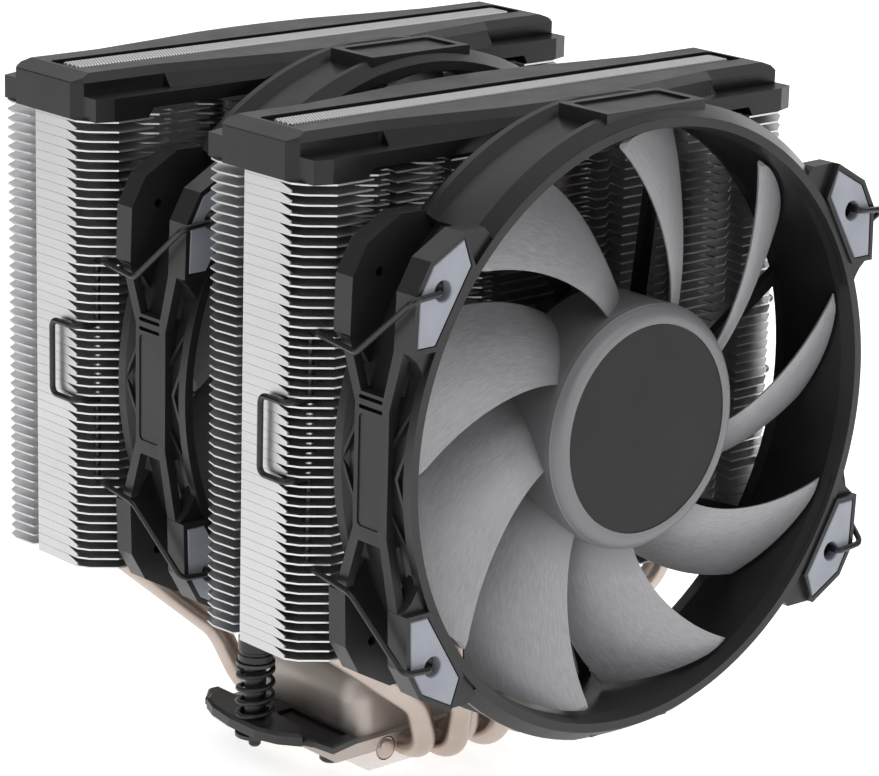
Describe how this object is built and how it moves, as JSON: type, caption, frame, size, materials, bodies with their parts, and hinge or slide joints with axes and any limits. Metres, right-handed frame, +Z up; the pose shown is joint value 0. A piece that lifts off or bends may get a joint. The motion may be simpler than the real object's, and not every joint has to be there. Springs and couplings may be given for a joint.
{
  "type": "cpu tower cooler",
  "caption": "Twin-tower processor cooler: nickel-plated base, heat pipes into aluminium fin stacks, black caps, and large round fans held by wire clips.",
  "frame": {"origin": "centre of the cold plate's underside, the face that rests on the processor", "axes": "+Z up from the processor through the fin stacks; +Y along the airflow, from the front fan to the rear tower; +X to the right seen from the front fan"},
  "size_m": [0.1534, 0.1465, 0.1694],
  "materials": {
    "nickel_plate": "nickel-plated, lapped flat, satin",
    "nickel_block": "nickel-plated, smooth, satin",
    "nickel_pipe": "nickel-plated, bright, slightly warm",
    "black_steel": "black coated, semi-gloss",
    "black_bracket": "black powder coat, satin",
    "black_screw": "black zinc, satin",
    "black_spring": "black coated spring wire, semi-gloss",
    "fin_metal": "nickel-plated sheet, bright satin",
    "cover_plastic": "moulded, satin black with a fine grain",
    "strip_inlay": "light grey, finely perforated",
    "frame_plastic": "moulded, satin black with a fine grain",
    "pad_rubber": "light blue-grey silicone, matte",
    "rotor_plastic": "mid grey, fine brushed grain",
    "hub_label": "plain black label, satin",
    "yoke_steel": "zinc-plated pressed steel",
    "magnet_ferrite": "bonded ferrite, matte",
    "shaft_steel": "ground steel",
    "bearing_brass": "sintered bronze",
    "nylon": "natural nylon",
    "stator_steel": "laminated steel",
    "coil_copper": "enamelled copper wire",
    "board_green": "solder-masked circuit board",
    "black_wire": "black coated steel wire, semi-gloss"
  },
  "bodies": {
    "cooler": {"cold_plate": "nickel_plate", "base_block": "nickel_block", "crossbar_screws": "black_steel", "heat_pipe_1": "nickel_pipe", "heat_pipe_2": "nickel_pipe", "heat_pipe_3": "nickel_pipe", "heat_pipe_4": "nickel_pipe", "heat_pipe_5": "nickel_pipe", "heat_pipe_6": "nickel_pipe", "heat_pipe_7": "nickel_pipe", "crossbar_left": "black_bracket", "crossbar_right": "black_bracket", "front_fin_stack": "fin_metal", "front_top_cover": "cover_plastic", "front_cover_strip": "strip_inlay", "front_fan_frame": "frame_plastic", "front_fan_front_pads": "pad_rubber", "front_fan_rear_pads": "pad_rubber", "front_fan_bearing": "bearing_brass", "front_fan_stator": "stator_steel", "front_fan_coils": "coil_copper", "front_fan_circuit_board": "board_green", "front_clip_left": "black_wire", "front_clip_right": "black_wire", "rear_fin_stack": "fin_metal", "rear_top_cover": "cover_plastic", "rear_cover_strip": "strip_inlay", "rear_fan_frame": "frame_plastic", "rear_fan_front_pads": "pad_rubber", "rear_fan_rear_pads": "pad_rubber", "rear_fan_bearing": "bearing_brass", "rear_fan_stator": "stator_steel", "rear_fan_coils": "coil_copper", "rear_fan_circuit_board": "board_green", "rear_clip_left": "black_wire", "rear_clip_right": "black_wire"},
    "front_impeller": {"front_fan_rotor": "rotor_plastic", "front_fan_hub_disc": "hub_label", "front_fan_yoke": "yoke_steel", "front_fan_magnet": "magnet_ferrite", "front_fan_shaft": "shaft_steel", "front_fan_shaft_clip": "nylon"},
    "rear_impeller": {"rear_fan_rotor": "rotor_plastic", "rear_fan_hub_disc": "hub_label", "rear_fan_yoke": "yoke_steel", "rear_fan_magnet": "magnet_ferrite", "rear_fan_shaft": "shaft_steel", "rear_fan_shaft_clip": "nylon"},
    "left_washer": {"screw_washer_left": "black_steel", "screw_spring_left": "black_spring"},
    "left_screw": {"spring_screw_left": "black_screw", "screw_clip_left": "black_steel"},
    "right_washer": {"screw_washer_right": "black_steel", "screw_spring_right": "black_spring"},
    "right_screw": {"spring_screw_right": "black_screw", "screw_clip_right": "black_steel"}
  },
  "joints": [
    {"name": "front_fan_spin", "type": "hinge", "parent": "cooler", "child": "front_impeller", "pos_m": [0, -0.0743, 0.097], "axis": [0, 1, 0], "continuous": true},
    {"name": "rear_fan_spin", "type": "hinge", "parent": "cooler", "child": "rear_impeller", "pos_m": [0, 0.0027, 0.097], "axis": [0, 1, 0], "continuous": true},
    {"name": "left_screw_travel", "type": "slide", "parent": "cooler", "child": "left_washer", "axis": [0, 0, -1], "range_m": [0, 0.0035], "stiffness_N_per_m": 6000, "springref_m": -0.001, "deforming": ["screw_spring_left"]},
    {"name": "left_screw_turn", "type": "hinge", "parent": "left_washer", "child": "left_screw", "pos_m": [-0.0413, 0, 0.02], "axis": [0, 0, 1], "continuous": true},
    {"name": "right_screw_travel", "type": "slide", "parent": "cooler", "child": "right_washer", "axis": [0, 0, -1], "range_m": [0, 0.0035], "stiffness_N_per_m": 6000, "springref_m": -0.001, "deforming": ["screw_spring_right"]},
    {"name": "right_screw_turn", "type": "hinge", "parent": "right_washer", "child": "right_screw", "pos_m": [0.0413, 0, 0.02], "axis": [0, 0, 1], "continuous": true}
  ]
}
